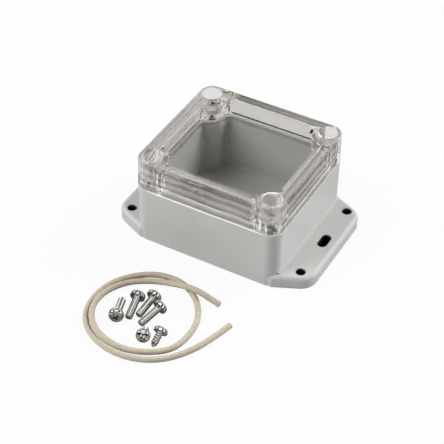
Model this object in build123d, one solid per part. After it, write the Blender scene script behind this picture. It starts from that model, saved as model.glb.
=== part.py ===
from build123d import *
import os
from math import atan, cos, degrees, radians, tan

os.makedirs("parts", exist_ok=True)

# Body: outer size at the joint line, heights and wall thicknesses, in millimetres
body_length = 65.0
body_width = 60.0
body_height = 40.0
joint_height = 26.4
corner_radius = 5.5
base_draft = 0.43
lid_draft = 1.26
side_wall = 3.6
end_wall = 5.0
floor_thickness = 3.0
lid_plate = 2.2
lid_edge_round = 0.6
joint_chamfer = 0.3
seat_gap = 0.03
plate_chamfer = 1.0
floor_chamfer = 0.7

# Screw columns in the four corners
screw_inset_x = 5.7
screw_inset_y = 6.1
column_radius = 6.2
column_fillet = 3.0
counterbore_diameter = 8.4
counterbore_depth = 8.5
screw_diameter = 3.0
screw_clearance = 0.4

# Brass inserts pressed into the base columns
insert_diameter = 4.6
insert_length = 6.0
insert_bore = 2.5
insert_interference = 0.05
insert_well_extra = 2.0

# Seal: groove in the lid, tongue on the base, both following the cavity outline
seal_lip = 0.8
groove_width = 2.0
groove_depth = 3.3
tongue_clearance = 0.35
tongue_height = 1.4

# Board bosses on the floor
boss_spacing = 40.0
boss_diameter = 5.5
boss_height = 4.0
boss_pilot_diameter = 2.2
boss_pilot_depth = 4.5

# Mounting flanges at both ends
flange_reach = 12.5
flange_thickness = 5.5
flange_edge_round = 1.8
flange_root_inset = 2.0
flange_root_chamfer = 0.8
flange_side_inset = 0.5
flange_edge_inset = 7.1
flange_corner_radius = 7.5
flange_hole_diameter = 4.2
flange_hole_reach = 6.7
flange_hole_inset = 8.9
flange_slot_length = 8.0

# Lid screws lying loose in front of the box
lid_screw_length = 10.0
lid_screw_head_diameter = 6.0
lid_screw_head_height = 2.4
lid_screw_head_rim = 1.1
lid_screw_head_top = 3.6
lid_screw_tip_chamfer = 0.4

# Board screws lying loose in front of the box
board_screw_diameter = 2.9
board_screw_length = 6.5
board_screw_head_diameter = 5.6
board_screw_head_height = 2.0
board_screw_head_rim = 0.8
board_screw_head_top = 3.4
board_screw_point_length = 2.0
board_screw_point_radius = 0.25

# Cross recess in every screw head
recess_length = 3.2
recess_width = 0.75
recess_depth = 1.1

# Silicone sealing cord, laid loose on the surface in front of the box
cord_diameter = 2.4
cord_sides = 12

# Length by which a cutting tool passes beyond the surface it opens
cut_overrun = 1.0

# Positions that follow from the sizes above
screw_x = body_length / 2 - screw_inset_x
screw_y = body_width / 2 - screw_inset_y
lid_bottom = joint_height + seat_gap
lid_height = body_height - lid_bottom
cavity_length = body_length - 2 * end_wall
cavity_width = body_width - 2 * side_wall
flange_edge = body_length / 2 + flange_reach
flange_hole_x = body_length / 2 + flange_hole_reach
flange_hole_y = body_width / 2 - flange_hole_inset
corners = [(-1, -1, "front_left"), (1, -1, "front_right"), (-1, 1, "back_left"), (1, 1, "back_right")]


def outer_profile():
    """Plan outline of the box at the joint line."""
    return RectangleRounded(body_length, body_width, corner_radius)


def cavity_profile():
    """Plan outline of the cavity: a rectangle with the four screw columns cut out of its corners."""
    plan = Rectangle(cavity_length, cavity_width)
    for side_x, side_y, name in corners:
        plan -= Pos(side_x * screw_x, side_y * screw_y) * Circle(column_radius)
    return fillet(plan.vertices(), column_fillet)


def seal_band(inner, outer):
    """Closed band that runs round the cavity, between two distances outside its outline."""
    cavity = cavity_profile()
    return offset(cavity, outer, kind=Kind.ARC) - offset(cavity, inner, kind=Kind.ARC)


def flange_profile():
    """Plan outline of both flanges as one plate that passes under the box."""
    root = body_length / 2 - flange_root_inset
    root_half_width = body_width / 2 - flange_side_inset
    edge_half_width = body_width / 2 - flange_edge_inset
    half = [
        (root, -root_half_width),
        (flange_edge, -edge_half_width),
        (flange_edge, edge_half_width),
        (root, root_half_width),
    ]
    points = half + [(-x, -y) for x, y in half]
    plan = make_face(Polyline(*points, close=True))
    outer = [v for v in plan.vertices() if abs(v.X) > body_length / 2]
    return fillet(outer, flange_corner_radius)


def flange_plate():
    """Solid flange plate with rounded upper edges, before the holes."""
    plate = extrude(flange_profile(), flange_thickness)
    top = plate.faces().sort_by(Axis.Z)[-1]
    return fillet(top.edges(), flange_edge_round)


def flange_root():
    """Sloping foot that thickens the corner between the end walls and the flanges."""
    foot_plan = offset(outer_profile(), flange_root_chamfer)
    draft_inset = joint_height * tan(radians(base_draft))
    foot = extrude(Pos(0, 0, flange_thickness) * foot_plan, flange_root_chamfer + draft_inset, taper=45)
    flat_top = offset(flange_profile(), -flange_edge_round)
    return foot & extrude(flat_top, joint_height)


def flange_cuts():
    """Round holes and slots of both flanges."""
    depth = flange_thickness + 2 * cut_overrun
    bottom = (Align.CENTER, Align.CENTER, Align.MIN)
    hole = Pos(0, 0, -cut_overrun) * Cylinder(flange_hole_diameter / 2, depth, align=bottom)
    slot_plan = SlotOverall(flange_slot_length, flange_hole_diameter, rotation=90)
    slot = extrude(Pos(0, 0, -cut_overrun) * slot_plan, depth)
    cuts = []
    for side in (-1, 1):
        cuts.append(Pos(side * flange_hole_x, 0, 0) * slot)
        for half in (-1, 1):
            cuts.append(Pos(side * flange_hole_x, half * flange_hole_y, 0) * hole)
    return cuts


def build_base():
    """Box with its flanges, screw columns, seal tongue and board bosses."""
    outside = extrude(Pos(0, 0, joint_height) * outer_profile(), joint_height, dir=(0, 0, -1), taper=base_draft)
    outside = chamfer(outside.faces().sort_by(Axis.Z)[-1].edges(), joint_chamfer)
    shell = outside + flange_plate() + flange_root()
    for cut in flange_cuts():
        shell -= cut
    cavity = extrude(Pos(0, 0, floor_thickness) * cavity_profile(), joint_height)
    cavity = chamfer(cavity.faces().sort_by(Axis.Z)[0].edges(), floor_chamfer)
    shell -= cavity
    tongue_plan = seal_band(seal_lip + tongue_clearance, seal_lip + groove_width - tongue_clearance)
    shell += extrude(Pos(0, 0, joint_height) * tongue_plan, tongue_height)
    well_radius = insert_diameter / 2 - insert_interference
    well_depth = insert_length + insert_well_extra
    for side_x, side_y, name in corners:
        well = Cylinder(well_radius, well_depth, align=(Align.CENTER, Align.CENTER, Align.MAX))
        shell -= Pos(side_x * screw_x, side_y * screw_y, joint_height) * well
    boss_align = (Align.CENTER, Align.CENTER, Align.MIN)
    boss_top = floor_thickness + boss_height
    for side in (-1, 1):
        boss = Cylinder(boss_diameter / 2, boss_top - floor_thickness / 2, align=boss_align)
        pilot = Cylinder(boss_pilot_diameter / 2, boss_pilot_depth + cut_overrun, align=boss_align)
        shell += Pos(side * boss_spacing / 2, 0, floor_thickness / 2) * boss
        shell -= Pos(side * boss_spacing / 2, 0, boss_top - boss_pilot_depth) * pilot
    return shell


def build_lid():
    """Clear lid with counterbored columns and the seal groove in its underside."""
    outside = extrude(Pos(0, 0, lid_bottom) * outer_profile(), lid_height, taper=lid_draft)
    outside = fillet(outside.faces().sort_by(Axis.Z)[-1].edges(), lid_edge_round)
    outside = chamfer(outside.faces().sort_by(Axis.Z)[0].edges(), joint_chamfer)
    cavity = extrude(Pos(0, 0, lid_bottom) * cavity_profile(), lid_height - lid_plate)
    cavity = chamfer(cavity.faces().sort_by(Axis.Z)[-1].edges(), plate_chamfer)
    lid = outside - cavity
    groove_plan = seal_band(seal_lip, seal_lip + groove_width)
    lid -= extrude(Pos(0, 0, lid_bottom) * groove_plan, groove_depth)
    hole_radius = (screw_diameter + screw_clearance) / 2
    for side_x, side_y, name in corners:
        place = Pos(side_x * screw_x, side_y * screw_y, body_height)
        top = (Align.CENTER, Align.CENTER, Align.MAX)
        lid -= place * Cylinder(counterbore_diameter / 2, counterbore_depth, align=top)
        lid -= place * Cylinder(hole_radius, lid_height + cut_overrun, align=top)
    return lid


def build_insert(side_x, side_y):
    """Brass threaded insert, flush with the joint line."""
    top = (Align.CENTER, Align.CENTER, Align.MAX)
    body = Cylinder(insert_diameter / 2, insert_length, align=top)
    body -= Cylinder(insert_bore / 2, insert_length, align=top)
    return Pos(side_x * screw_x, side_y * screw_y, joint_height) * body


def cross_recess(seat_height):
    """Cross-shaped pocket cut into the top of a screw head."""
    top = (Align.CENTER, Align.CENTER, Align.MAX)
    bar = Box(recess_length, recess_width, recess_depth, align=top)
    cross = bar + Rot(0, 0, 90) * bar
    return Pos(0, 0, seat_height) * cross


def build_screw(length, diameter, head_diameter, head_height, head_rim, head_top, point_length, point_radius):
    """Screw along Z with its seat at zero, the raised head above it and the shank below."""
    radius = diameter / 2
    outline = [
        (0, head_height),
        (head_top / 2, head_height),
        (head_diameter / 2, head_rim),
        (head_diameter / 2, 0),
        (radius, 0),
        (radius, point_length - length),
        (point_radius, -length),
        (0, -length),
    ]
    turned = revolve(Plane.XZ * make_face(Polyline(*outline, close=True)), Axis.Z)
    return turned - cross_recess(head_height)


def lay_screw(screw, x, y, yaw, length, head_diameter, tip_radius):
    """Lay a screw on the surface so that its head's rim and its tip's edge both touch it."""
    tilt = degrees(atan((head_diameter / 2 - tip_radius) / length))
    seat_height = head_diameter / 2 * cos(radians(tilt))
    lying = Rot(0, 0, yaw) * Rot(0, -90 + tilt, 0) * screw
    placed = Pos(x, y, seat_height) * lying
    low = placed.bounding_box().min.Z
    return Pos(0, 0, -low) * placed


# Where the loose screws lie: seat centre in plan and direction from head to tip
lid_screw_places = [
    (-12.6, -75.2, 110.0),
    (-10.5, -63.6, -79.0),
    (-5.1, -60.5, -94.8),
    (-0.2, -64.45, -105.7),
]
board_screw_places = [
    (2.1, -79.58, 112.1),
    (6.95, -75.3, -87.9),
]

# Route of the cord's centre line over the surface, from its back end inwards
cord_radius = cord_diameter / 2
cord_route_plan = [
    (27.4, -57.2),
    (24.7, -67.5),
    (20.6, -77.3),
    (13.9, -85.8),
    (4.7, -90.6),
    (-5.7, -91.4),
    (-16.1, -88.2),
    (-23.7, -81.3),
    (-26.8, -71.6),
    (-25.6, -61.1),
    (-20.3, -52.6),
    (-11.9, -46.4),
    (-1.5, -45.3),
    (8.0, -50.1),
    (14.6, -58.6),
    (16.8, -68.5),
    (14.7, -79.9),
    (4.5, -86.8),
]
# Along the left side the second turn leans on the first one
cord_leaning = [
    (-5.1, -89.0, 1.9),
    (-15.6, -86.2, 2.65),
    (-22.9, -78.2, 2.65),
    (-24.4, -68.2, 2.65),
    (-20.3, -57.0, 1.4),
    (-12.5, -51.3, cord_radius),
]
# The end climbs over the first turn
cord_over = [
    (-5.9, -49.1, 1.4),
    (0.1, -49.2, 3.1),
    (4.7, -49.5, 4.15),
    (9.5, -49.6, 4.15),
    (14.0, -49.4, 2.5),
    (18.4, -49.4, cord_radius),
]
cord_points = [(x, y, cord_radius) for x, y in cord_route_plan] + cord_leaning + cord_over


def corner_radii(points):
    """Largest arc at each corner: 0.45 of the shorter run over the tangent of half the turn."""
    radii = []
    for before, here, after in zip(points, points[1:], points[2:]):
        first = Vector(*here) - Vector(*before)
        second = Vector(*after) - Vector(*here)
        turn = radians(first.get_angle(second))
        radii.append(0.45 * min(first.length, second.length) / tan(turn / 2))
    return radii


def build_cord():
    """Cord swept along straight runs joined by tangent arcs, with flats in place of its round section."""
    radii = corner_radii(cord_points)
    path = FilletPolyline(*cord_points, radius=radii)
    start = Plane(origin=path @ 0, z_dir=path % 0)
    section = start * RegularPolygon(cord_radius, cord_sides, major_radius=False, rotation=180 / cord_sides)
    solid = sweep(section, path=path)
    print("cord radii", [round(r, 1) for r in radii])
    print("cord length", round(path.length, 1), "volume ratio", round(solid.volume / section.area / path.length, 4))
    return solid


base = build_base()
clear_lid = build_lid()
gasket_cord = build_cord()
nodes = {"base": base, "clear_lid": clear_lid, "gasket_cord": gasket_cord}
for side_x, side_y, name in corners:
    nodes["insert_" + name] = build_insert(side_x, side_y)
lid_screw_tip = screw_diameter / 2 - lid_screw_tip_chamfer
lid_screw = build_screw(
    lid_screw_length,
    screw_diameter,
    lid_screw_head_diameter,
    lid_screw_head_height,
    lid_screw_head_rim,
    lid_screw_head_top,
    lid_screw_tip_chamfer,
    lid_screw_tip,
)
board_screw = build_screw(
    board_screw_length,
    board_screw_diameter,
    board_screw_head_diameter,
    board_screw_head_height,
    board_screw_head_rim,
    board_screw_head_top,
    board_screw_point_length,
    board_screw_point_radius,
)
for number, (x, y, yaw) in enumerate(lid_screw_places, 1):
    laid = lay_screw(lid_screw, x, y, yaw, lid_screw_length, lid_screw_head_diameter, lid_screw_tip)
    nodes["lid_screw_" + str(number)] = laid
for number, (x, y, yaw) in enumerate(board_screw_places, 1):
    laid = lay_screw(board_screw, x, y, yaw, board_screw_length, board_screw_head_diameter, board_screw_point_radius)
    nodes["board_screw_" + str(number)] = laid

for node, solid in nodes.items():
    solid.label = node
    export_step(solid, "parts/" + node + ".step")
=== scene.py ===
"""Clear-lidded polycarbonate enclosure with mounting flanges, its loose seal cord and screws."""

import math

import bpy
from mathutils import Matrix, Vector


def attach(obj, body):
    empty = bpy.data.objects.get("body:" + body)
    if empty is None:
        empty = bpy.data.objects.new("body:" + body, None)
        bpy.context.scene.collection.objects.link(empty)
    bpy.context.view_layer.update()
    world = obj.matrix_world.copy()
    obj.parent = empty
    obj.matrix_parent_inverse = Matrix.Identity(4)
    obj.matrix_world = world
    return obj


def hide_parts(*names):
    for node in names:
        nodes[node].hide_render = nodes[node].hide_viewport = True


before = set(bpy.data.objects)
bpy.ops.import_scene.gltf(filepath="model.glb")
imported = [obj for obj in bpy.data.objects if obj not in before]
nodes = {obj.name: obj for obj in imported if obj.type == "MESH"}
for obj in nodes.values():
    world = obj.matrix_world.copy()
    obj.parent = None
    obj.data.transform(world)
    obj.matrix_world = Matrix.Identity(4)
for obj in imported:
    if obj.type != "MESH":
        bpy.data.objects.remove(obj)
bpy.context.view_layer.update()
bpy.ops.object.select_all(action="DESELECT")

MM = 0.001

# Camera that matches the photograph
CAMERA_AZIMUTH = 28.795
CAMERA_ELEVATION = 41.192
CAMERA_ROLL = 0.69
CAMERA_DISTANCE = 579.61 * MM
CAMERA_TARGET = Vector((0, 0, 20 * MM))
CAMERA_SHIFT_RIGHT = -7.366 * MM
CAMERA_SHIFT_UP = -16.131 * MM
CAMERA_LENS = 115.06
SENSOR_WIDTH = 36.0


def extent(node):
    """Lowest and highest corner of a CAD node."""
    return Vector(node.bound_box[0]), Vector(node.bound_box[6])


# Sizes and places that the CAD part gives
_, lid_high = extent(nodes["clear_lid"])
insert_low, insert_high = extent(nodes["insert_back_right"])
HALF_LENGTH = lid_high.x
HALF_WIDTH = lid_high.y
SEAT_HEIGHT = insert_high.z
LID_TOP = lid_high.z
SCREW_X = (insert_low.x + insert_high.x) / 2
SCREW_Y = (insert_low.y + insert_high.y) / 2

# Limits for the counts of what light has met: none so far, and too often mirrored in the clear plastic
NONE_YET = 0.5
MIRRORED_LIMIT = 2.5

# The lid's flat window inside its thick rim, and how much light the rim's walls scatter
RIM_WIDTH = 5.0 * MM
RIM_FADE = 1.5 * MM
WINDOW_HALF_X = HALF_LENGTH - RIM_WIDTH
WINDOW_HALF_Y = HALF_WIDTH - RIM_WIDTH
WALL_HAZE_LEAST = 0.01
WALL_HAZE = 0.2
OUTER_FACE = HALF_WIDTH - 1.0 * MM
OUTER_FADE = 0.3 * MM
OUTER_HAZE = 0.35
BACK_START = 18.0 * MM
BACK_SHARE = 0.1

# Counterbores in the lid's corners
COUNTERBORE_RADIUS = 4.2 * MM
COUNTERBORE_FLOOR = LID_TOP - 8.5 * MM
COUNTERBORE_HAZE = 0.24

# Painted reflections on the outer walls: what they mirror inside them, from the seal groove up to the top
# edge, and how far it sways
STRIPE_SWAY = 1.2 * MM
WALL_REFLECTION_STRIPES = [
    (0.0, "#D8D4D2"),
    (0.05, "#85807E"),
    (0.14, "#85807E"),
    (0.22, "#C8C4C2"),
    (0.28, "#FFFFFF"),
    (0.34, "#4E4A48"),
    (0.45, "#CFC9C5"),
    (0.6, "#4E4A48"),
    (0.72, "#CFC9C5"),
    (0.82, "#4A4644"),
    (0.94, "#4A4644"),
    (1.0, "#B8B1AD"),
]

# Flange holes and the slot between them, and how deep in them the painted shade starts and is full
HOLE_X = 39.2 * MM
HOLE_Y = 21.1 * MM
HOLE_RADIUS = 2.1 * MM
SLOT_STRAIGHT = 1.9 * MM
FLANGE_TOP = 5.5 * MM
SHADE_START = 0.2 * MM
SHADE_FULL = 1.0 * MM

# Inner corners at the cavity's floor and at the flanges' roots, which get painted shade, with the lines in
# plan that part them
FLOOR_TOP = 3.0 * MM
FLOOR_CHAMFER = 0.7 * MM
ROOT_CHAMFER = 0.8 * MM
CAVITY_WITHIN_X = HALF_LENGTH - 3.0 * MM
CAVITY_WITHIN_Y = HALF_WIDTH - 2.0 * MM
ROOT_BEYOND_X = HALF_LENGTH - 1.0 * MM

# Painted highlight along the base's edge under the lid, and where it ends before the rounded corners
SEAT_EDGE_HEIGHT = 0.5 * MM
SEAT_EDGE_WIDTH = 0.75 * MM
SEAT_EDGE_FULL = 23.0 * MM
SEAT_EDGE_END = 27.0 * MM

# How far beyond a surface its mask reaches, and how far above a flat face a mask starts that leaves it out
MASK_SLACK = 0.05 * MM
FACE_GAP = 0.02 * MM

# Least offset that counts from a hole's centre: in effect none for a round hole, and zero along a slot
NO_LEAST = (-1, -1, -1)
SLOT_LEAST = (-1, 0, -1)

# Widths of the patterns in the surfaces
GRAIN_WIDTH = 0.4 * MM
FLOW_WIDTH = 16.67 * MM
POLISH_LINE_WIDTH = 1.923 * MM
CORD_PATCH_WIDTH = 2.5 * MM
NICKEL_PATCH_WIDTH = 1.111 * MM
TURNING_MARK_WIDTH = 0.667 * MM

# Lid screw, M3 with a pan head, seat at zero and shank downwards
LID_SCREW = {
    "length": 10.0 * MM,
    "root": 1.2 * MM,
    "crest": 1.49 * MM,
    "pitch": 0.5 * MM,
    "tip": 1.1 * MM,
    "tip_length": 0.4 * MM,
    "head_radius": 3.0 * MM,
    "head_height": 2.4 * MM,
}

# Board screw, 2.9 mm self-tapping with a pan head
BOARD_SCREW = {
    "length": 6.5 * MM,
    "root": 1.08 * MM,
    "crest": 1.44 * MM,
    "pitch": 1.1 * MM,
    "tip": 0.25 * MM,
    "tip_length": 2.0 * MM,
    "head_radius": 2.8 * MM,
    "head_height": 2.0 * MM,
}

# Thread: width of its crest as a share of the pitch, faces round one turn, and turns wound to spare
CREST_SHARE = 0.12
THREAD_STEPS = 32
SPARE_TURNS = 5
CUT_THRESHOLD = 0.0001 * MM

# Pan head as shares of its height: upright rim, top of the rounded shoulder and the shoulder's width
HEAD_RIM = 0.3
HEAD_SHOULDER = 0.86
HEAD_ROUND = 0.35
HEAD_EDGE = 0.1 * MM
HEAD_ARC_STEPS = 8
HEAD_STEPS = 64
CROWN_SHARES = (0.75, 0.5, 0.25)

# Spigot under the head and overlap of the shank, where the two are joined
SPIGOT_RADIUS = 0.6 * MM
SPIGOT_LENGTH = 0.4 * MM
SHANK_OVERLAP = 0.15 * MM

# Round envelope that trims the shank and its tip, wider than the thread's crest
ENVELOPE_WIDTH = 1.2
ENVELOPE_STEPS = 48

# Cross recess in both heads
RECESS_SPAN = 4.2 * MM
RECESS_WIDTH = 0.95 * MM
RECESS_DEPTH = 1.5 * MM
RECESS_TAPER = 0.4
RECESS_THINNING = 0.8
RECESS_TURNS = (40, 130)

# Merging distance for points that should be one, and the angle under which faces look smooth
MERGE_DISTANCE = 0.001 * MM
SMOOTH_ANGLE = math.radians(35)

# Seal cord, with the depth and the fading radius of the painted shade on its cut faces
CORD_DIAMETER = 2.4 * MM
CUT_DEPTH = 0.08 * MM
CUT_FULL_RADIUS = 1.0 * MM
CUT_END_RADIUS = 1.15 * MM


def colour(code):
    """An sRGB hex code as the linear colour that a shader takes."""
    parts = [int(code[i:i + 2], 16) / 255 for i in (1, 3, 5)]
    linear = [p / 12.92 if p <= 0.04045 else ((p + 0.055) / 1.055) ** 2.4 for p in parts]
    return (*linear, 1.0)


def add_node(tree, kind, values=(), links=(), stops=(), **settings):
    """One shader node with its settings, input values, links from earlier nodes and colour stops."""
    node = tree.nodes.new(kind)
    for name, value in settings.items():
        setattr(node, name, value)
    for socket, value in dict(values).items():
        node.inputs[socket].default_value = value
    for socket, source in dict(links).items():
        tree.links.new(source, node.inputs[socket])
    if stops:
        elements = node.color_ramp.elements
        while len(elements) < len(stops):
            elements.new(1.0)
        for element, (position, code) in zip(elements, stops):
            element.position = position
            element.color = colour(code)
    return node


def new_material(name):
    """An empty node material and its tree."""
    material = bpy.data.materials.new(name)
    material.use_nodes = True
    material.node_tree.nodes.clear()
    return material, material.node_tree


def distance_in_plan(tree, folded, centre, least):
    """Distance in plan from a hole's axis or a slot's middle line, on places folded into one quarter."""
    offset = add_node(
        tree,
        "ShaderNodeVectorMath",
        {1: centre},
        {0: folded.outputs["Vector"]},
        operation="SUBTRACT",
    )
    held = add_node(
        tree,
        "ShaderNodeVectorMath",
        {1: least},
        {0: offset.outputs["Vector"]},
        operation="MAXIMUM",
    )
    flat = add_node(
        tree,
        "ShaderNodeVectorMath",
        {1: (1, 1, 0)},
        {0: held.outputs["Vector"]},
        operation="MULTIPLY",
    )
    return add_node(tree, "ShaderNodeVectorMath", links={0: flat.outputs["Vector"]}, operation="LENGTH")


def inside_holes(tree, folded, height):
    """A mask of the walls of the flange holes and slots, where shade is painted, from just below the flange's
    top downwards.
    """
    hole = distance_in_plan(tree, folded, (HOLE_X, HOLE_Y, 0), NO_LEAST)
    slot = distance_in_plan(tree, folded, (HOLE_X, SLOT_STRAIGHT, 0), SLOT_LEAST)
    nearest = add_node(
        tree,
        "ShaderNodeMath",
        links={0: hole.outputs["Value"], 1: slot.outputs["Value"]},
        operation="MINIMUM",
    )
    on_wall = add_node(
        tree,
        "ShaderNodeMath",
        {1: HOLE_RADIUS + MASK_SLACK},
        {0: nearest.outputs["Value"]},
        operation="LESS_THAN",
    )
    depth = add_node(
        tree,
        "ShaderNodeMapRange",
        {"From Min": FLANGE_TOP - SHADE_START, "From Max": FLANGE_TOP - SHADE_FULL},
        {"Value": height},
    )
    return add_node(
        tree,
        "ShaderNodeMath",
        links={0: on_wall.outputs["Value"], 1: depth.outputs["Result"]},
        operation="MULTIPLY",
    )


def between(tree, value, low, high):
    """A mask of the points where a value lies between two limits."""
    above = add_node(tree, "ShaderNodeMath", {1: low}, {0: value}, operation="GREATER_THAN")
    below = add_node(tree, "ShaderNodeMath", {1: high}, {0: value}, operation="LESS_THAN")
    return add_node(
        tree,
        "ShaderNodeMath",
        links={0: above.outputs["Value"], 1: below.outputs["Value"]},
        operation="MULTIPLY",
    )


def in_inner_corners(tree, folded, height):
    """Two masks of narrow chamfers where shade is painted: round the cavity's floor, and where the flanges
    meet the box.
    """
    parts = add_node(tree, "ShaderNodeSeparateXYZ", links={"Vector": folded.outputs["Vector"]})
    floor = between(tree, height, FLOOR_TOP + FACE_GAP, FLOOR_TOP + FLOOR_CHAMFER)
    inside = add_node(
        tree,
        "ShaderNodeMath",
        {1: CAVITY_WITHIN_X},
        {0: parts.outputs["X"]},
        operation="LESS_THAN",
    )
    inside_too = add_node(
        tree,
        "ShaderNodeMath",
        {1: CAVITY_WITHIN_Y},
        {0: parts.outputs["Y"]},
        operation="LESS_THAN",
    )
    cavity = add_node(
        tree,
        "ShaderNodeMath",
        links={0: inside.outputs["Value"], 1: inside_too.outputs["Value"]},
        operation="MULTIPLY",
    )
    floor_shade = add_node(
        tree,
        "ShaderNodeMath",
        links={0: floor.outputs["Value"], 1: cavity.outputs["Value"]},
        operation="MULTIPLY",
    )
    root = between(tree, height, FLANGE_TOP + FACE_GAP, FLANGE_TOP + ROOT_CHAMFER)
    outside = add_node(
        tree,
        "ShaderNodeMath",
        {1: ROOT_BEYOND_X},
        {0: parts.outputs["X"]},
        operation="GREATER_THAN",
    )
    root_shade = add_node(
        tree,
        "ShaderNodeMath",
        links={0: root.outputs["Value"], 1: outside.outputs["Value"]},
        operation="MULTIPLY",
    )
    return floor_shade, root_shade


def on_seat_highlight(tree, folded, height):
    """A mask of the straight stretches of the base's upper front and back edges, where a highlight is
    painted.
    """
    parts = add_node(tree, "ShaderNodeSeparateXYZ", links={"Vector": folded.outputs["Vector"]})
    straight = add_node(
        tree,
        "ShaderNodeMapRange",
        {"From Min": SEAT_EDGE_END, "From Max": SEAT_EDGE_FULL},
        {"Value": parts.outputs["X"]},
    )
    outside = add_node(
        tree,
        "ShaderNodeMath",
        {1: HALF_WIDTH - SEAT_EDGE_WIDTH},
        {0: parts.outputs["Y"]},
        operation="GREATER_THAN",
    )
    near_top = add_node(
        tree,
        "ShaderNodeMath",
        {1: SEAT_HEIGHT - SEAT_EDGE_HEIGHT},
        {0: height},
        operation="GREATER_THAN",
    )
    on_edge = add_node(
        tree,
        "ShaderNodeMath",
        links={0: outside.outputs["Value"], 1: near_top.outputs["Value"]},
        operation="MULTIPLY",
    )
    return add_node(
        tree,
        "ShaderNodeMath",
        links={0: on_edge.outputs["Value"], 1: straight.outputs["Result"]},
        operation="MULTIPLY",
    )


def moulded_grey_polycarbonate():
    """Injection-moulded polycarbonate with a fine spark-eroded texture: satin, even, light grey, with painted
    shade in its holes and inner corners and a painted highlight on its edge under the lid.
    """
    material, tree = new_material("moulded_grey_polycarbonate")
    place = add_node(tree, "ShaderNodeTexCoord")
    # The real texture is about 0.05 mm, too fine to show, so it is drawn at about 0.4 mm
    grain = add_node(
        tree,
        "ShaderNodeTexNoise",
        {"Scale": 1 / GRAIN_WIDTH, "Detail": 2.0, "Roughness": 0.5},
        {"Vector": place.outputs["Object"]},
    )
    flow = add_node(
        tree,
        "ShaderNodeTexNoise",
        {"Scale": 1 / FLOW_WIDTH, "Detail": 2.0, "Roughness": 0.5},
        {"Vector": place.outputs["Object"]},
    )
    tone = add_node(
        tree,
        "ShaderNodeValToRGB",
        links={"Fac": flow.outputs["Fac"]},
        stops=[(0.3, "#B7B9B6"), (0.7, "#BCBEBB")],
    )
    folded = add_node(
        tree,
        "ShaderNodeVectorMath",
        links={0: place.outputs["Object"]},
        operation="ABSOLUTE",
    )
    parts = add_node(tree, "ShaderNodeSeparateXYZ", links={"Vector": place.outputs["Object"]})
    # Painted shade: the walls of the narrow holes are drawn near black, for the light that they swallow
    hole_shade = inside_holes(tree, folded, parts.outputs["Z"])
    with_hole_shade = add_node(
        tree,
        "ShaderNodeMix",
        {7: colour("#262625")},
        {0: hole_shade.outputs["Value"], 6: tone.outputs["Color"]},
        data_type="RGBA",
    )
    # Painted shade: the narrow chamfers at the inner corners are drawn darker, because the real inner corners
    # are soft fillets that catch less light than these chamfers
    floor_shade, root_shade = in_inner_corners(tree, folded, parts.outputs["Z"])
    with_floor_shade = add_node(
        tree,
        "ShaderNodeMix",
        {7: colour("#A2A4A1")},
        {0: floor_shade.outputs["Value"], 6: with_hole_shade.outputs[2]},
        data_type="RGBA",
    )
    with_root_shade = add_node(
        tree,
        "ShaderNodeMix",
        {7: colour("#A9ABA8")},
        {0: root_shade.outputs["Value"], 6: with_floor_shade.outputs[2]},
        data_type="RGBA",
    )
    # Painted highlight: the sharp edge under the lid is drawn bright, for the light that it catches
    seat_highlight = on_seat_highlight(tree, folded, parts.outputs["Z"])
    with_seat_highlight = add_node(
        tree,
        "ShaderNodeMix",
        {7: colour("#E8E8E6")},
        {0: seat_highlight.outputs["Value"], 6: with_root_shade.outputs[2]},
        data_type="RGBA",
    )
    gloss = add_node(
        tree,
        "ShaderNodeMapRange",
        {"From Min": 0.3, "From Max": 0.7, "To Min": 0.34, "To Max": 0.42},
        {"Value": grain.outputs["Fac"]},
    )
    relief = add_node(
        tree,
        "ShaderNodeBump",
        {"Strength": 0.12, "Distance": 0.02 * MM},
        {"Height": grain.outputs["Fac"]},
    )
    shader = add_node(
        tree,
        "ShaderNodeBsdfPrincipled",
        {"IOR": 1.585},
        {
            "Base Color": with_seat_highlight.outputs[2],
            "Roughness": gloss.outputs["Result"],
            "Normal": relief.outputs["Normal"],
        },
    )
    add_node(tree, "ShaderNodeOutputMaterial", links={"Surface": shader.outputs["BSDF"]})
    return material


def distance_outward(tree, parts):
    """How far out in plan a place on the lid lies, with one value all round the window's edge."""
    across = add_node(tree, "ShaderNodeMath", links={0: parts.outputs["X"]}, operation="ABSOLUTE")
    along = add_node(tree, "ShaderNodeMath", links={0: parts.outputs["Y"]}, operation="ABSOLUTE")
    nearer = add_node(
        tree,
        "ShaderNodeMath",
        {1: WINDOW_HALF_X - WINDOW_HALF_Y},
        {0: across.outputs["Value"]},
        operation="SUBTRACT",
    )
    return add_node(
        tree,
        "ShaderNodeMath",
        links={0: nearer.outputs["Value"], 1: along.outputs["Value"]},
        operation="MAXIMUM",
    )


def counterbore_haze(tree, place, parts):
    """Haze in the counterbores, whose moulding pins are less polished and leave them faintly milky."""
    folded = add_node(
        tree,
        "ShaderNodeVectorMath",
        links={0: place.outputs["Object"]},
        operation="ABSOLUTE",
    )
    bore = distance_in_plan(tree, folded, (SCREW_X, SCREW_Y, 0), NO_LEAST)
    in_bore = add_node(
        tree,
        "ShaderNodeMapRange",
        {
            "From Min": COUNTERBORE_RADIUS + 2 * MASK_SLACK,
            "From Max": COUNTERBORE_RADIUS + MASK_SLACK,
            "To Max": COUNTERBORE_HAZE,
        },
        {"Value": bore.outputs["Value"]},
    )
    above_floor = add_node(
        tree,
        "ShaderNodeMath",
        {1: COUNTERBORE_FLOOR - 2 * MASK_SLACK},
        {0: parts.outputs["Z"]},
        operation="GREATER_THAN",
    )
    return add_node(
        tree,
        "ShaderNodeMath",
        links={0: in_bore.outputs["Result"], 1: above_floor.outputs["Value"]},
        operation="MULTIPLY",
    )


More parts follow.
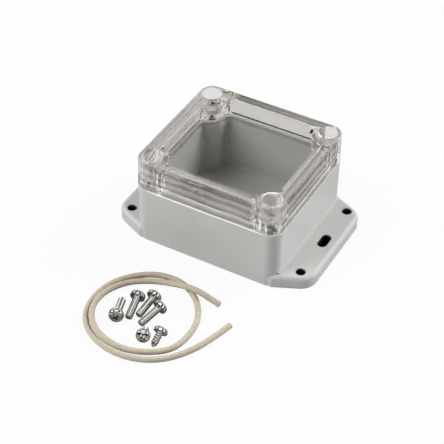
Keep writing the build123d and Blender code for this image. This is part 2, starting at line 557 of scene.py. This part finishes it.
def wall_reflection_stripes(tree, place, parts):
    """Painted reflections: colours of the stripes along the lid's outer walls, by a height that sways a
    little.
    """
    wave = add_node(
        tree,
        "ShaderNodeTexNoise",
        {"Scale": 1 / FLOW_WIDTH, "Detail": 3.0, "Roughness": 0.6},
        {"Vector": place.outputs["Object"]},
    )
    sway = add_node(
        tree,
        "ShaderNodeMapRange",
        {"To Min": -STRIPE_SWAY, "To Max": STRIPE_SWAY},
        {"Value": wave.outputs["Fac"]},
    )
    swayed = add_node(
        tree,
        "ShaderNodeMath",
        links={0: parts.outputs["Z"], 1: sway.outputs["Result"]},
        operation="ADD",
    )
    level = add_node(
        tree,
        "ShaderNodeMapRange",
        {"From Min": SEAT_HEIGHT, "From Max": LID_TOP},
        {"Value": swayed.outputs["Value"]},
    )
    return add_node(
        tree,
        "ShaderNodeValToRGB",
        links={"Fac": level.outputs["Result"]},
        stops=WALL_REFLECTION_STRIPES,
    )


def light_passing_straight(tree):
    """A mask of light between lamps and matt surfaces, and of light that the walls have mirrored often."""
    path = add_node(tree, "ShaderNodeLightPath")
    mirrored = add_node(
        tree,
        "ShaderNodeMath",
        {1: MIRRORED_LIMIT},
        {0: path.outputs["Glossy Depth"]},
        operation="GREATER_THAN",
    )
    scattered = add_node(
        tree,
        "ShaderNodeMath",
        links={0: path.outputs["Is Diffuse Ray"], 1: path.outputs["Is Shadow Ray"]},
        operation="MAXIMUM",
    )
    return add_node(
        tree,
        "ShaderNodeMath",
        links={0: mirrored.outputs["Value"], 1: scattered.outputs["Value"]},
        operation="MAXIMUM",
    )


def clear_moulded_polycarbonate():
    """Clear moulded polycarbonate: a polished window, and walls with faint polishing lines all round and
    painted reflections on their outer faces.
    """
    material, tree = new_material("clear_moulded_polycarbonate")
    place = add_node(tree, "ShaderNodeTexCoord")
    parts = add_node(tree, "ShaderNodeSeparateXYZ", links={"Vector": place.outputs["Object"]})
    outward = distance_outward(tree, parts)
    in_wall = add_node(
        tree,
        "ShaderNodeMapRange",
        {"From Min": WINDOW_HALF_Y, "From Max": WINDOW_HALF_Y + RIM_FADE},
        {"Value": outward.outputs["Value"]},
    )
    # Lines that follow the edges: they change outwards and upwards, and hardly along a wall. Real polishing
    # lines are a few hundredths of a millimetre apart, too fine to show, so these are about 2 mm apart
    ring = add_node(
        tree,
        "ShaderNodeCombineXYZ",
        links={"X": outward.outputs["Value"], "Y": parts.outputs["Z"]},
    )
    lines = add_node(
        tree,
        "ShaderNodeTexNoise",
        {"Scale": 1 / POLISH_LINE_WIDTH, "Detail": 2.0, "Roughness": 0.5},
        {"Vector": ring.outputs["Vector"]},
    )
    # The thick walls round the window scatter a little light, and their outer faces more
    amount = add_node(
        tree,
        "ShaderNodeMapRange",
        {"From Min": 0.4, "From Max": 0.65, "To Min": WALL_HAZE_LEAST, "To Max": WALL_HAZE},
        {"Value": lines.outputs["Fac"]},
    )
    in_bulk = add_node(
        tree,
        "ShaderNodeMath",
        links={0: in_wall.outputs["Result"], 1: amount.outputs["Result"]},
        operation="MULTIPLY",
    )
    outer = add_node(
        tree,
        "ShaderNodeMapRange",
        {"From Min": OUTER_FACE, "From Max": OUTER_FACE + OUTER_FADE},
        {"Value": outward.outputs["Value"]},
    )
    milky = add_node(
        tree,
        "ShaderNodeMix",
        {3: OUTER_HAZE},
        {0: outer.outputs["Result"], 2: in_bulk.outputs["Value"]},
        data_type="FLOAT",
    )
    all_haze = add_node(
        tree,
        "ShaderNodeMath",
        links={0: milky.outputs[0], 1: counterbore_haze(tree, place, parts).outputs["Value"]},
        operation="MAXIMUM",
    )
    # The back wall faces the light and stays clear
    back = add_node(
        tree,
        "ShaderNodeMapRange",
        {"From Min": BACK_START, "From Max": WINDOW_HALF_Y, "To Min": 1.0, "To Max": BACK_SHARE},
        {"Value": parts.outputs["Y"]},
    )
    haziness = add_node(
        tree,
        "ShaderNodeMath",
        links={0: all_haze.outputs["Value"], 1: back.outputs["Result"]},
        operation="MULTIPLY",
    )
    # Painted reflections: the haze on the outer faces takes the colours of the mirrored stripes
    tint_and_reflections = add_node(
        tree,
        "ShaderNodeMix",
        {6: colour("#E3DCD8")},
        {0: outer.outputs["Result"], 7: wall_reflection_stripes(tree, place, parts).outputs["Color"]},
        data_type="RGBA",
    )
    haze_and_reflections = add_node(tree, "ShaderNodeBsdfDiffuse", links={"Color": tint_and_reflections.outputs[2]})
    relief = add_node(
        tree,
        "ShaderNodeBump",
        {"Distance": 0.04 * MM},
        {"Strength": in_wall.outputs["Result"], "Height": lines.outputs["Fac"]},
    )
    solid = add_node(
        tree,
        "ShaderNodeBsdfPrincipled",
        {
            "Base Color": colour("#F7F6F5"),
            "Roughness": 0.03,
            "IOR": 1.585,
            "Transmission Weight": 1.0,
        },
        {"Normal": relief.outputs["Normal"]},
    )
    wall = add_node(
        tree,
        "ShaderNodeMixShader",
        links={0: haziness.outputs[0], 1: solid.outputs["BSDF"], 2: haze_and_reflections.outputs["BSDF"]},
    )
    passing = add_node(tree, "ShaderNodeBsdfTransparent", {"Color": colour("#F6F5F4")})
    surface = add_node(
        tree,
        "ShaderNodeMixShader",
        links={
            0: light_passing_straight(tree).outputs["Value"],
            1: wall.outputs["Shader"],
            2: passing.outputs["BSDF"],
        },
    )
    body = add_node(
        tree,
        "ShaderNodeVolumeAbsorption",
        {"Color": colour("#ECE6E3"), "Density": 16.0},
    )
    add_node(
        tree,
        "ShaderNodeOutputMaterial",
        links={"Surface": surface.outputs["Shader"], "Volume": body.outputs["Volume"]},
    )
    return material


def cut_face_shade(tree, place, end, inner):
    """A mask of the middle of the cord's cut face, where shade is painted, given the last two points of its
    route at that end.
    """
    outward = (Vector(end) - Vector(inner)).normalized()
    offset = add_node(
        tree,
        "ShaderNodeVectorMath",
        {1: Vector(end) * MM},
        {0: place.outputs["Object"]},
        operation="SUBTRACT",
    )
    depth = add_node(
        tree,
        "ShaderNodeVectorMath",
        {1: outward},
        {0: offset.outputs["Vector"]},
        operation="DOT_PRODUCT",
    )
    on_face = add_node(
        tree,
        "ShaderNodeMath",
        {1: -CUT_DEPTH},
        {0: depth.outputs["Value"]},
        operation="GREATER_THAN",
    )
    reach = add_node(tree, "ShaderNodeVectorMath", links={0: offset.outputs["Vector"]}, operation="LENGTH")
    middle = add_node(
        tree,
        "ShaderNodeMapRange",
        {"From Min": CUT_FULL_RADIUS, "From Max": CUT_END_RADIUS, "To Min": 1.0, "To Max": 0.0},
        {"Value": reach.outputs["Value"]},
    )
    return add_node(
        tree,
        "ShaderNodeMath",
        links={0: on_face.outputs["Value"], 1: middle.outputs["Result"]},
        operation="MULTIPLY",
    )


def extruded_silicone():
    """Extruded silicone rubber cord: matt, beige and slightly translucent, with painted shade in the middle
    of its cut ends.
    """
    material, tree = new_material("extruded_silicone")
    place = add_node(tree, "ShaderNodeTexCoord")
    patches = add_node(
        tree,
        "ShaderNodeTexNoise",
        {"Scale": 1 / CORD_PATCH_WIDTH, "Detail": 3.0, "Roughness": 0.6},
        {"Vector": place.outputs["Object"]},
    )
    tone = add_node(
        tree,
        "ShaderNodeValToRGB",
        links={"Fac": patches.outputs["Fac"]},
        stops=[(0.3, "#B3AA98"), (0.7, "#BAB1A0")],
    )
    # Painted shade: the middle of each cut end is drawn dark olive
    end_shade = add_node(
        tree,
        "ShaderNodeMath",
        links={
            0: cut_face_shade(tree, place, CORD_ROUTE[0], CORD_ROUTE[1]).outputs["Value"],
            1: cut_face_shade(tree, place, CORD_ROUTE[-1], CORD_ROUTE[-2]).outputs["Value"],
        },
        operation="MAXIMUM",
    )
    shade = add_node(
        tree,
        "ShaderNodeMix",
        {7: colour("#6A6656")},
        {0: end_shade.outputs["Value"], 6: tone.outputs["Color"]},
        data_type="RGBA",
    )
    # The skin of the real cord is finer, too fine to show, so it is drawn at about 0.4 mm
    grain = add_node(
        tree,
        "ShaderNodeTexNoise",
        {"Scale": 1 / GRAIN_WIDTH, "Detail": 2.0, "Roughness": 0.6},
        {"Vector": place.outputs["Object"]},
    )
    relief = add_node(
        tree,
        "ShaderNodeBump",
        {"Strength": 0.1, "Distance": 0.03 * MM},
        {"Height": grain.outputs["Fac"]},
    )
    shader = add_node(
        tree,
        "ShaderNodeBsdfPrincipled",
        {"IOR": 1.41, "Roughness": 0.62, "Subsurface Weight": 0.15, "Subsurface Scale": 0.5 * MM},
        {"Base Color": shade.outputs[2], "Normal": relief.outputs["Normal"]},
    )
    add_node(tree, "ShaderNodeOutputMaterial", links={"Surface": shader.outputs["BSDF"]})
    return material


def nickel_plated_steel():
    """Bright nickel on cold-headed steel: mirror-like, with faint uneven gloss."""
    material, tree = new_material("nickel_plated_steel")
    place = add_node(tree, "ShaderNodeTexCoord")
    wear = add_node(
        tree,
        "ShaderNodeTexNoise",
        {"Scale": 1 / NICKEL_PATCH_WIDTH, "Detail": 3.0, "Roughness": 0.6},
        {"Vector": place.outputs["Object"]},
    )
    gloss = add_node(
        tree,
        "ShaderNodeMapRange",
        {"From Min": 0.3, "From Max": 0.7, "To Min": 0.05, "To Max": 0.14},
        {"Value": wear.outputs["Fac"]},
    )
    shader = add_node(
        tree,
        "ShaderNodeBsdfPrincipled",
        {"Base Color": colour("#E8E7E5"), "Metallic": 1.0},
        {"Roughness": gloss.outputs["Result"]},
    )
    add_node(tree, "ShaderNodeOutputMaterial", links={"Surface": shader.outputs["BSDF"]})
    return material


def turned_brass():
    """Free-cutting brass, turned on a lathe: yellow and satin, with slightly uneven gloss."""
    material, tree = new_material("turned_brass")
    place = add_node(tree, "ShaderNodeTexCoord")
    # Real turning marks are about 0.05 mm apart, too fine to show, so they are drawn at about 0.7 mm
    marks = add_node(
        tree,
        "ShaderNodeTexNoise",
        {"Scale": 1 / TURNING_MARK_WIDTH, "Detail": 2.0, "Roughness": 0.5},
        {"Vector": place.outputs["Object"]},
    )
    gloss = add_node(
        tree,
        "ShaderNodeMapRange",
        {"From Min": 0.3, "From Max": 0.7, "To Min": 0.3, "To Max": 0.45},
        {"Value": marks.outputs["Fac"]},
    )
    shader = add_node(
        tree,
        "ShaderNodeBsdfPrincipled",
        {"Base Color": colour("#A88C60"), "Metallic": 1.0},
        {"Roughness": gloss.outputs["Result"]},
    )
    add_node(tree, "ShaderNodeOutputMaterial", links={"Surface": shader.outputs["BSDF"]})
    return material


def paint(piece, material):
    """Gives a piece, or a CAD node in its own slots, one material."""
    if not piece.data.materials:
        piece.data.materials.append(material)
    for index in range(len(piece.material_slots)):
        piece.material_slots[index].material = material


# The camera and the cord come first
def place_camera():
    """The photograph's viewpoint, from the fitted angles and offsets."""
    azimuth = math.radians(CAMERA_AZIMUTH)
    elevation = math.radians(CAMERA_ELEVATION)
    roll = math.radians(CAMERA_ROLL)
    back = Vector(
        (
            math.sin(azimuth) * math.cos(elevation),
            -math.cos(azimuth) * math.cos(elevation),
            math.sin(elevation),
        )
    )
    level_right = (-back).cross(Vector((0, 0, 1))).normalized()
    level_up = level_right.cross(-back)
    right = level_right * math.cos(roll) + level_up * math.sin(roll)
    up = level_up * math.cos(roll) - level_right * math.sin(roll)
    data = bpy.data.cameras.new("camera")
    data.sensor_width = SENSOR_WIDTH
    data.lens = CAMERA_LENS
    data.clip_start = 0.05
    data.clip_end = 20.0
    camera = bpy.data.objects.new("camera", data)
    bpy.context.scene.collection.objects.link(camera)
    turn = Matrix((right, up, back)).transposed().to_4x4()
    position = CAMERA_TARGET + back * CAMERA_DISTANCE + right * CAMERA_SHIFT_RIGHT + up * CAMERA_SHIFT_UP
    camera.matrix_world = Matrix.Translation(position) @ turn
    bpy.context.scene.camera = camera


place_camera()

# Route of the cord's centre line, in millimetres
CORD_ROUTE = [
    (27.4, -57.2, 1.2),
    (24.7, -67.5, 1.2),
    (20.6, -77.3, 1.2),
    (13.9, -85.8, 1.2),
    (4.7, -90.6, 1.2),
    (-5.7, -91.4, 1.2),
    (-16.1, -88.2, 1.2),
    (-23.7, -81.3, 1.2),
    (-26.8, -71.6, 1.2),
    (-25.6, -61.1, 1.2),
    (-20.3, -52.6, 1.2),
    (-11.9, -46.4, 1.2),
    (-1.5, -45.3, 1.2),
    (8.0, -50.1, 1.2),
    (14.6, -58.6, 1.2),
    (16.8, -68.5, 1.2),
    (14.7, -79.9, 1.2),
    (4.5, -86.8, 1.2),
    (-5.1, -89.0, 1.9),
    (-15.6, -86.2, 2.65),
    (-22.9, -78.2, 2.65),
    (-24.4, -68.2, 2.65),
    (-20.3, -57.0, 1.4),
    (-12.5, -51.3, 1.2),
    (-5.9, -49.1, 1.4),
    (0.1, -49.2, 3.1),
    (4.7, -49.5, 4.15),
    (9.5, -49.6, 4.15),
    (14.0, -49.4, 2.5),
    (18.4, -49.4, 1.2),
]


def lay_cord(silicone):
    """The seal cord, one smooth curve through the loose coil on the table."""
    data = bpy.data.curves.new("seal_cord", "CURVE")
    data.dimensions = "3D"
    data.bevel_depth = CORD_DIAMETER / 2
    data.bevel_resolution = 8
    data.resolution_u = 12
    data.use_fill_caps = True
    spline = data.splines.new("NURBS")
    spline.points.add(len(CORD_ROUTE) - 1)
    for point, (x, y, z) in zip(spline.points, CORD_ROUTE):
        point.co = (x * MM, y * MM, z * MM, 1.0)
    spline.order_u = 3
    spline.use_endpoint_u = True
    cord = bpy.data.objects.new("seal_cord", data)
    bpy.context.scene.collection.objects.link(cord)
    data.materials.append(silicone)
    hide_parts("gasket_cord")
    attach(cord, "cord")


lay_cord(extruded_silicone())


# Screws are drawn as profiles and turned, as on a lathe
def only(piece):
    """Selects one piece and makes it the active one."""
    bpy.ops.object.select_all(action="DESELECT")
    piece.select_set(True)
    bpy.context.view_layer.objects.active = piece


def apply_modifier(piece, kind, **settings):
    """Adds one modifier with its settings and applies it."""
    only(piece)
    modifier = piece.modifiers.new(kind.lower(), kind)
    for name, value in settings.items():
        setattr(modifier, name, value)
    bpy.ops.object.modifier_apply(modifier=modifier.name)


def clean_mesh(piece):
    """Merges doubled points and turns every face outwards."""
    only(piece)
    bpy.ops.object.mode_set(mode="EDIT")
    bpy.ops.mesh.select_all(action="SELECT")
    bpy.ops.mesh.remove_doubles(threshold=MERGE_DISTANCE)
    bpy.ops.mesh.normals_make_consistent(inside=False)
    bpy.ops.object.mode_set(mode="OBJECT")


def draw_profile(name, points):
    """A line in the XZ plane, extruded from point to point: pairs of radius and height."""
    bpy.ops.object.select_all(action="DESELECT")
    bpy.ops.mesh.primitive_plane_add(size=1 * MM, location=(0, 0, 0))
    line = bpy.context.object
    line.name = name
    bpy.ops.object.mode_set(mode="EDIT")
    bpy.ops.mesh.select_all(action="SELECT")
    bpy.ops.mesh.merge(type="CENTER")
    here = (0.0, 0.0)
    for index, (radius, height) in enumerate(points):
        step = (radius - here[0], 0, height - here[1])
        if index == 0:
            bpy.ops.transform.translate(value=step)
        else:
            bpy.ops.mesh.extrude_region_move(TRANSFORM_OT_translate={"value": step})
        here = (radius, height)
    bpy.ops.object.mode_set(mode="OBJECT")
    return line


def turn_profile(name, points, steps):
    """A closed solid of revolution from a profile that starts and ends on the axis."""
    piece = draw_profile(name, points)
    apply_modifier(
        piece,
        "SCREW",
        axis="Z",
        steps=steps,
        render_steps=steps,
        use_merge_vertices=True,
        merge_threshold=MERGE_DISTANCE,
    )
    clean_mesh(piece)
    return piece


def wind_thread(name, size):
    """A threaded bar along Z, closed at both ends, from just above zero down past the screw's length."""
    pitch = size["pitch"]
    crest_flat = CREST_SHARE * pitch
    flank = (pitch - 2 * crest_flat) / 2
    profile = [
        (size["root"], 0),
        (size["root"], crest_flat),
        (size["crest"], crest_flat + flank),
        (size["crest"], pitch - flank),
        (size["root"], pitch),
    ]
    bar = draw_profile(name, profile)
    apply_modifier(
        bar,
        "SCREW",
        axis="Z",
        screw_offset=-pitch,
        iterations=int(size["length"] / pitch) + SPARE_TURNS,
        steps=THREAD_STEPS,
        render_steps=THREAD_STEPS,
        use_merge_vertices=True,
        merge_threshold=MERGE_DISTANCE,
    )
    clean_mesh(bar)
    only(bar)
    bpy.ops.object.mode_set(mode="EDIT")
    # Both ends of the winding are cut off square, and the bar moves up by one turn
    top = -0.6 * pitch
    bottom = -size["length"] - 1.4 * pitch
    for height, outward in ((top, 1), (bottom, -1)):
        bpy.ops.mesh.select_all(action="SELECT")
        bpy.ops.mesh.bisect(
            plane_co=(0, 0, height),
            plane_no=(0, 0, outward),
            use_fill=True,
            clear_outer=True,
            threshold=CUT_THRESHOLD,
        )
    bpy.ops.mesh.select_all(action="SELECT")
    bpy.ops.mesh.normals_make_consistent(inside=False)
    bpy.ops.transform.translate(value=(0, 0, pitch))
    bpy.ops.object.mode_set(mode="OBJECT")
    return bar


def combine(piece, tool, operation):
    """Joins, cuts or trims a piece with a tool, and removes the tool."""
    apply_modifier(piece, "BOOLEAN", operation=operation, solver="EXACT", object=tool)
    bpy.data.objects.remove(tool, do_unlink=True)


def recess_wing(height, turn):
    """One tapered bar of the driver's cross, to be cut from the top of a head."""
    bpy.ops.object.select_all(action="DESELECT")
    bpy.ops.mesh.primitive_cube_add(size=1.0, location=(0, 0, 0))
    wing = bpy.context.object
    bpy.ops.object.mode_set(mode="EDIT")
    bpy.ops.mesh.select_all(action="SELECT")
    bpy.ops.transform.resize(value=(RECESS_SPAN, RECESS_WIDTH, 2 * RECESS_DEPTH))
    bpy.ops.mesh.select_all(action="DESELECT")
    bpy.ops.object.mode_set(mode="OBJECT")
    for vertex in wing.data.vertices:
        vertex.select = vertex.co.z < 0
    bpy.ops.object.mode_set(mode="EDIT")
    bpy.ops.transform.resize(value=(RECESS_TAPER, RECESS_THINNING, 1))
    bpy.ops.object.mode_set(mode="OBJECT")
    wing.location = (0, 0, height)
    wing.rotation_euler = (0, 0, math.radians(turn))
    bpy.ops.object.transform_apply(location=True, rotation=True, scale=True)
    return wing


def domed_head(name, radius, height):
    """Pan head: flat seat, short upright rim, rounded shoulder and a low crown up to the middle."""
    rim = HEAD_RIM * height
    shoulder = HEAD_SHOULDER * height
    reach = radius - HEAD_ROUND * height
    points = [
        (0, -SPIGOT_LENGTH),
        (SPIGOT_RADIUS, -SPIGOT_LENGTH),
        (SPIGOT_RADIUS, 0),
        (radius - HEAD_EDGE, 0),
        (radius, HEAD_EDGE),
    ]
    for index in range(HEAD_ARC_STEPS + 1):
        angle = math.radians(90 * index / HEAD_ARC_STEPS)
        spread = reach + (radius - reach) * math.cos(angle)
        points.append((spread, rim + (shoulder - rim) * math.sin(angle)))
    for share in CROWN_SHARES:
        points.append((reach * share, height - (height - shoulder) * share * share))
    points.append((0, height))
    return turn_profile(name, points, HEAD_STEPS)


def model_screw(name, size):
    """A whole screw along Z: threaded shank below zero and recessed pan head above."""
    length = size["length"]
    shank = wind_thread(name, size)
    wide = ENVELOPE_WIDTH * size["crest"]
    outline = [
        (0, SHANK_OVERLAP),
        (wide, SHANK_OVERLAP),
        (wide, size["tip_length"] - length),
        (size["tip"], -length),
        (0, -length),
    ]
    combine(shank, turn_profile("envelope", outline, ENVELOPE_STEPS), "INTERSECT")
    screw = domed_head(name + "_head", size["head_radius"], size["head_height"])
    combine(screw, shank, "UNION")
    for turn in RECESS_TURNS:
        combine(screw, recess_wing(size["head_height"], turn), "DIFFERENCE")
    clean_mesh(screw)
    screw.name = name
    return screw


def lay_screw(model, size, name, node, place, nickel):
    """A copy of a screw that lies on the table on its head's rim and its tip, standing for its CAD node."""
    x, y, yaw = place
    screw = model.copy()
    screw.data = model.data.copy()
    screw.name = name
    bpy.context.scene.collection.objects.link(screw)
    tilt = math.atan((size["head_radius"] - size["tip"]) / size["length"])
    screw.rotation_euler = (0, tilt - math.pi / 2, math.radians(yaw))
    screw.location = (x * MM, y * MM, 0)
    only(screw)
    bpy.ops.object.transform_apply(location=True, rotation=True, scale=True)
    screw.location.z = -min(vertex.co.z for vertex in screw.data.vertices)
    bpy.ops.object.transform_apply(location=True, rotation=True, scale=True)
    bpy.ops.object.shade_smooth_by_angle(angle=SMOOTH_ANGLE)
    screw.data.materials.clear()
    screw.data.materials.append(nickel)
    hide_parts(node)
    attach(screw, node)


# Where the loose screws lie: seat centre in plan and direction from head to tip
LID_SCREW_PLACES = [
    (-12.6, -75.2, 110.0),
    (-10.5, -63.6, -79.0),
    (-5.1, -60.5, -94.8),
    (-0.2, -64.45, -105.7),
]
BOARD_SCREW_PLACES = [
    (2.1, -79.58, 112.1),
    (6.95, -75.3, -87.9),
]


def lay_screws(nickel):
    """The four lid screws and the two board screws."""
    for kind, size, places, prefix in (
        ("lid_screw", LID_SCREW, LID_SCREW_PLACES, "threaded_"),
        ("board_screw", BOARD_SCREW, BOARD_SCREW_PLACES, "tapping_"),
    ):
        model = model_screw(kind + "_model", size)
        for number, place in enumerate(places, 1):
            node = kind + "_" + str(number)
            lay_screw(model, size, prefix + node, node, place, nickel)
        bpy.data.objects.remove(model, do_unlink=True)


paint(nodes["base"], moulded_grey_polycarbonate())
paint(nodes["clear_lid"], clear_moulded_polycarbonate())
nickel = nickel_plated_steel()
brass = turned_brass()
for name, node in nodes.items():
    if name.startswith("insert"):
        paint(node, brass)
lay_screws(nickel)


# Table, background and light
HORIZON_LIGHT = 0.3
ZENITH_LIGHT = 0.14
ZENITH_HEIGHT = 0.7
TENT_STRENGTH = 1.4
TENT_REFLECTION = [
    (0.0, "#C0C0C0"),
    (0.05, "#0A0A0A"),
    (0.26, "#0A0A0A"),
    (0.34, "#F0F0F0"),
    (0.56, "#FFFFFF"),
    (0.62, "#303030"),
    (0.86, "#1C1C1C"),
    (0.93, "#FFFFFF"),
    (1.0, "#FFFFFF"),
]
# Black card that keeps the tent's reflection off the flat lid: its direction and the cosines of its edge
FLAG_DIRECTION = (-0.36, 0.66, 0.66)
FLAG_OUTER = 0.955
FLAG_INNER = 0.975
# Table: how white the camera and gloss see it, and the share that gloss outside the lid mirrors as black,
# for the dark gaps between the heaped screws
TABLE_SIZE = 6.0
TABLE_LEVEL = -0.05 * MM
TABLE_WHITE = 0.93
MIRRORED_WHITE = 0.15
METAL_SHADE = 0.75
# Dark spots on the table under the flange holes and slots
SPOT_LEVEL = -0.03 * MM
HOLE_SPOT_RADIUS = 3.2 * MM
SLOT_SPOT_RADIUS = 4.8 * MM
SPOT_CORNERS = 48
# Soft lamps: place and side in metres, and power in watts
AIM_HEIGHT = 15 * MM
SOFTBOXES = [
    ("softbox_back_right", (0.68, 0.70, 0.66), 0.7, 18.4),
    ("softbox_front_left", (-0.74, -0.62, 0.72), 1.0, 18.1),
]


def white_seen_directly(tree, plain, bright):
    """The bright shader where it is seen directly or in gloss, and the plain one once light has scattered."""
    path = add_node(tree, "ShaderNodeLightPath")
    seen = add_node(
        tree,
        "ShaderNodeMath",
        links={0: path.outputs["Is Camera Ray"], 1: path.outputs["Is Glossy Ray"]},
        operation="MAXIMUM",
    )
    through = add_node(
        tree,
        "ShaderNodeMath",
        links={0: seen.outputs["Value"], 1: path.outputs["Is Transmission Ray"]},
        operation="MAXIMUM",
    )
    unscattered = add_node(
        tree,
        "ShaderNodeMath",
        {1: NONE_YET},
        {0: path.outputs["Diffuse Depth"]},
        operation="LESS_THAN",
    )
    direct = add_node(
        tree,
        "ShaderNodeMath",
        links={0: through.outputs["Value"], 1: unscattered.outputs["Value"]},
        operation="MULTIPLY",
    )
    return add_node(
        tree,
        "ShaderNodeMixShader",
        links={0: direct.outputs["Value"], 1: plain.outputs[0], 2: bright.outputs[0]},
    )


def build_world():
    """White tent that is brightest near the horizon, with dark gaps that polished metal mirrors."""
    world = bpy.data.worlds.new("studio")
    bpy.context.scene.world = world
    world.use_nodes = True
    tree = world.node_tree
    tree.nodes.clear()
    place = add_node(tree, "ShaderNodeTexCoord")
    parts = add_node(tree, "ShaderNodeSeparateXYZ", links={"Vector": place.outputs["Generated"]})
    level = add_node(
        tree,
        "ShaderNodeMapRange",
        {"From Max": ZENITH_HEIGHT, "To Min": HORIZON_LIGHT, "To Max": ZENITH_LIGHT},
        {"Value": parts.outputs["Z"]},
    )
    plain = add_node(
        tree,
        "ShaderNodeBackground",
        {"Color": colour("#FFFFFF")},
        {"Strength": level.outputs["Result"]},
    )
    gaps = add_node(
        tree,
        "ShaderNodeValToRGB",
        links={"Fac": parts.outputs["Z"]},
        stops=TENT_REFLECTION,
    )
    towards_flag = add_node(
        tree,
        "ShaderNodeVectorMath",
        {1: FLAG_DIRECTION},
        {0: place.outputs["Generated"]},
        operation="DOT_PRODUCT",
    )
    flag = add_node(
        tree,
        "ShaderNodeMapRange",
        {"From Min": FLAG_OUTER, "From Max": FLAG_INNER},
        {"Value": towards_flag.outputs["Value"]},
    )
    tent = add_node(
        tree,
        "ShaderNodeBackground",
        {"Strength": TENT_STRENGTH},
        {"Color": gaps.outputs["Color"]},
    )
    card = add_node(tree, "ShaderNodeBackground", {"Color": colour("#202020"), "Strength": 1.0})
    mirrored = add_node(
        tree,
        "ShaderNodeMixShader",
        links={0: flag.outputs["Result"], 1: tent.outputs[0], 2: card.outputs[0]},
    )
    white = add_node(tree, "ShaderNodeBackground", {"Color": colour("#FFFFFF"), "Strength": 1.0})
    path = add_node(tree, "ShaderNodeLightPath")
    bright = add_node(
        tree,
        "ShaderNodeMixShader",
        links={0: path.outputs["Is Glossy Ray"], 1: white.outputs[0], 2: mirrored.outputs[0]},
    )
    mixed = white_seen_directly(tree, plain, bright)
    add_node(tree, "ShaderNodeOutputWorld", links={"Surface": mixed.outputs[0]})


def build_table():
    """Pale table that is seen as white and keeps a faint shadow, with more of it in gloss."""
    bpy.ops.object.select_all(action="DESELECT")
    bpy.ops.mesh.primitive_plane_add(size=TABLE_SIZE, location=(0, 0, TABLE_LEVEL))
    table = bpy.context.object
    table.name = "table_top"
    material, tree = new_material("white_laminate")
    plain = add_node(tree, "ShaderNodeBsdfDiffuse", {"Color": colour("#C8C8C8")})
    glow = add_node(tree, "ShaderNodeEmission", {"Color": colour("#FFFFFF"), "Strength": 1.0})
    path = add_node(tree, "ShaderNodeLightPath")
    # Gloss mirrors more of the table's shadows than the camera sees, and outside the lid a darker table too
    share = add_node(
        tree,
        "ShaderNodeMapRange",
        {"To Min": TABLE_WHITE, "To Max": MIRRORED_WHITE},
        {"Value": path.outputs["Is Glossy Ray"]},
    )
    lit = add_node(
        tree,
        "ShaderNodeMixShader",
        links={0: share.outputs["Result"], 1: plain.outputs[0], 2: glow.outputs[0]},
    )
    outside = add_node(
        tree,
        "ShaderNodeMath",
        {1: NONE_YET},
        {0: path.outputs["Transmission Depth"]},
        operation="LESS_THAN",
    )
    on_metal = add_node(
        tree,
        "ShaderNodeMath",
        links={0: path.outputs["Is Glossy Ray"], 1: outside.outputs["Value"]},
        operation="MULTIPLY",
    )
    depth = add_node(
        tree,
        "ShaderNodeMath",
        {1: METAL_SHADE},
        {0: on_metal.outputs["Value"]},
        operation="MULTIPLY",
    )
    dark = add_node(tree, "ShaderNodeBsdfDiffuse", {"Color": colour("#000000")})
    shaded = add_node(
        tree,
        "ShaderNodeMixShader",
        links={0: depth.outputs["Value"], 1: lit.outputs[0], 2: dark.outputs[0]},
    )
    mixed = white_seen_directly(tree, plain, shaded)
    add_node(tree, "ShaderNodeOutputMaterial", links={"Surface": mixed.outputs[0]})
    table.data.materials.append(material)


def shade_holes():
    """Dark spots on the table under the flange holes, where no light of the studio reaches."""
    material, tree = new_material("unlit_table")
    shader = add_node(tree, "ShaderNodeBsdfDiffuse", {"Color": colour("#0C0C0C")})
    add_node(tree, "ShaderNodeOutputMaterial", links={"Surface": shader.outputs["BSDF"]})
    for side in (-1, 1):
        for y, radius in ((-HOLE_Y, HOLE_SPOT_RADIUS), (0, SLOT_SPOT_RADIUS), (HOLE_Y, HOLE_SPOT_RADIUS)):
            bpy.ops.object.select_all(action="DESELECT")
            bpy.ops.mesh.primitive_circle_add(
                vertices=SPOT_CORNERS,
                radius=radius,
                fill_type="NGON",
                location=(side * HOLE_X, y, SPOT_LEVEL),
            )
            spot = bpy.context.object
            spot.name = "shade_spot"
            spot.data.materials.append(material)


def add_softbox(name, position, size, power):
    """A square soft lamp that points at the box and isn't seen in its gloss or through the clear lid."""
    data = bpy.data.lights.new(name, "AREA")
    data.shape = "SQUARE"
    data.size = size
    data.energy = power
    lamp = bpy.data.objects.new(name, data)
    bpy.context.scene.collection.objects.link(lamp)
    lamp.location = position
    lamp.visible_glossy = False
    lamp.visible_transmission = False
    lamp.rotation_mode = "QUATERNION"
    aim = Vector((0, 0, AIM_HEIGHT)) - Vector(position)
    lamp.rotation_quaternion = aim.to_track_quat("-Z", "Y")


build_world()
build_table()
shade_holes()
for softbox in SOFTBOXES:
    add_softbox(*softbox)

bpy.context.scene.view_settings.view_transform = "Standard"
